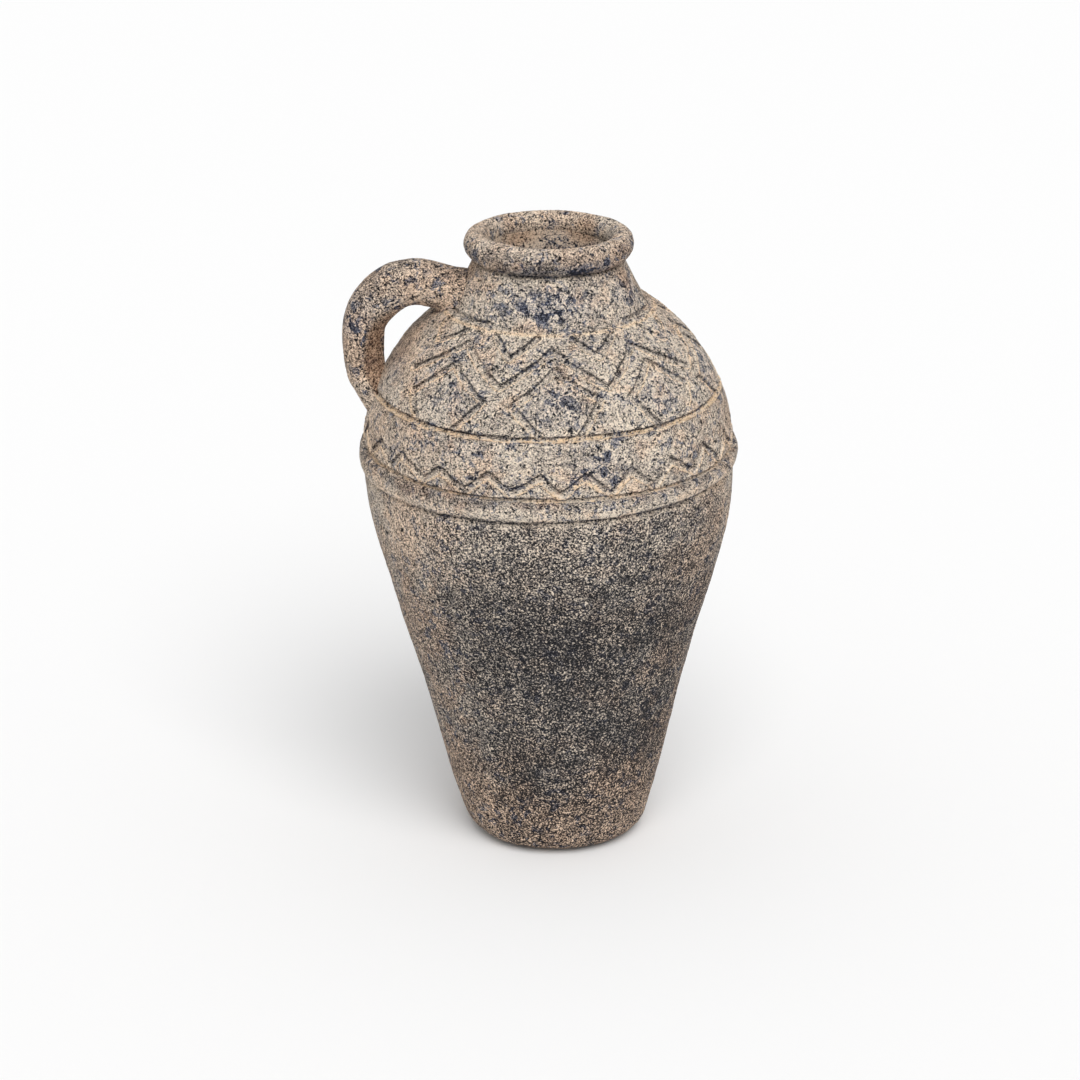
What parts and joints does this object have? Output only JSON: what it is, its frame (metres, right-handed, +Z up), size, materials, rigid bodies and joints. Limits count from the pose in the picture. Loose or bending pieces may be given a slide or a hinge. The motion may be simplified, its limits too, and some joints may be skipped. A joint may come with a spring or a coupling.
{
  "type": "one-handled earthenware jar",
  "caption": "Tall shouldered earthenware jar with a rolled rim, a single strap handle from neck to shoulder, a belly cordon and incised diamond and zigzag bands.",
  "frame": {"origin": "centre of the flat underside of the foot, on the jar's axis", "axes": "+Z up along the jar's axis, -X towards the handle"},
  "size_m": [0.3703, 0.3572, 0.5999],
  "materials": {
    "antiqued_earthenware": "matt, gritty tan over dark blue-grey"
  },
  "bodies": {
    "root": {"floor_slab": "antiqued_earthenware", "lower_wall": "antiqued_earthenware", "belly_cordon": "antiqued_earthenware", "zigzag_band": "antiqued_earthenware", "shoulder": "antiqued_earthenware", "neck": "antiqued_earthenware", "rim_roll": "antiqued_earthenware", "handle": "antiqued_earthenware"}
  },
  "joints": []
}
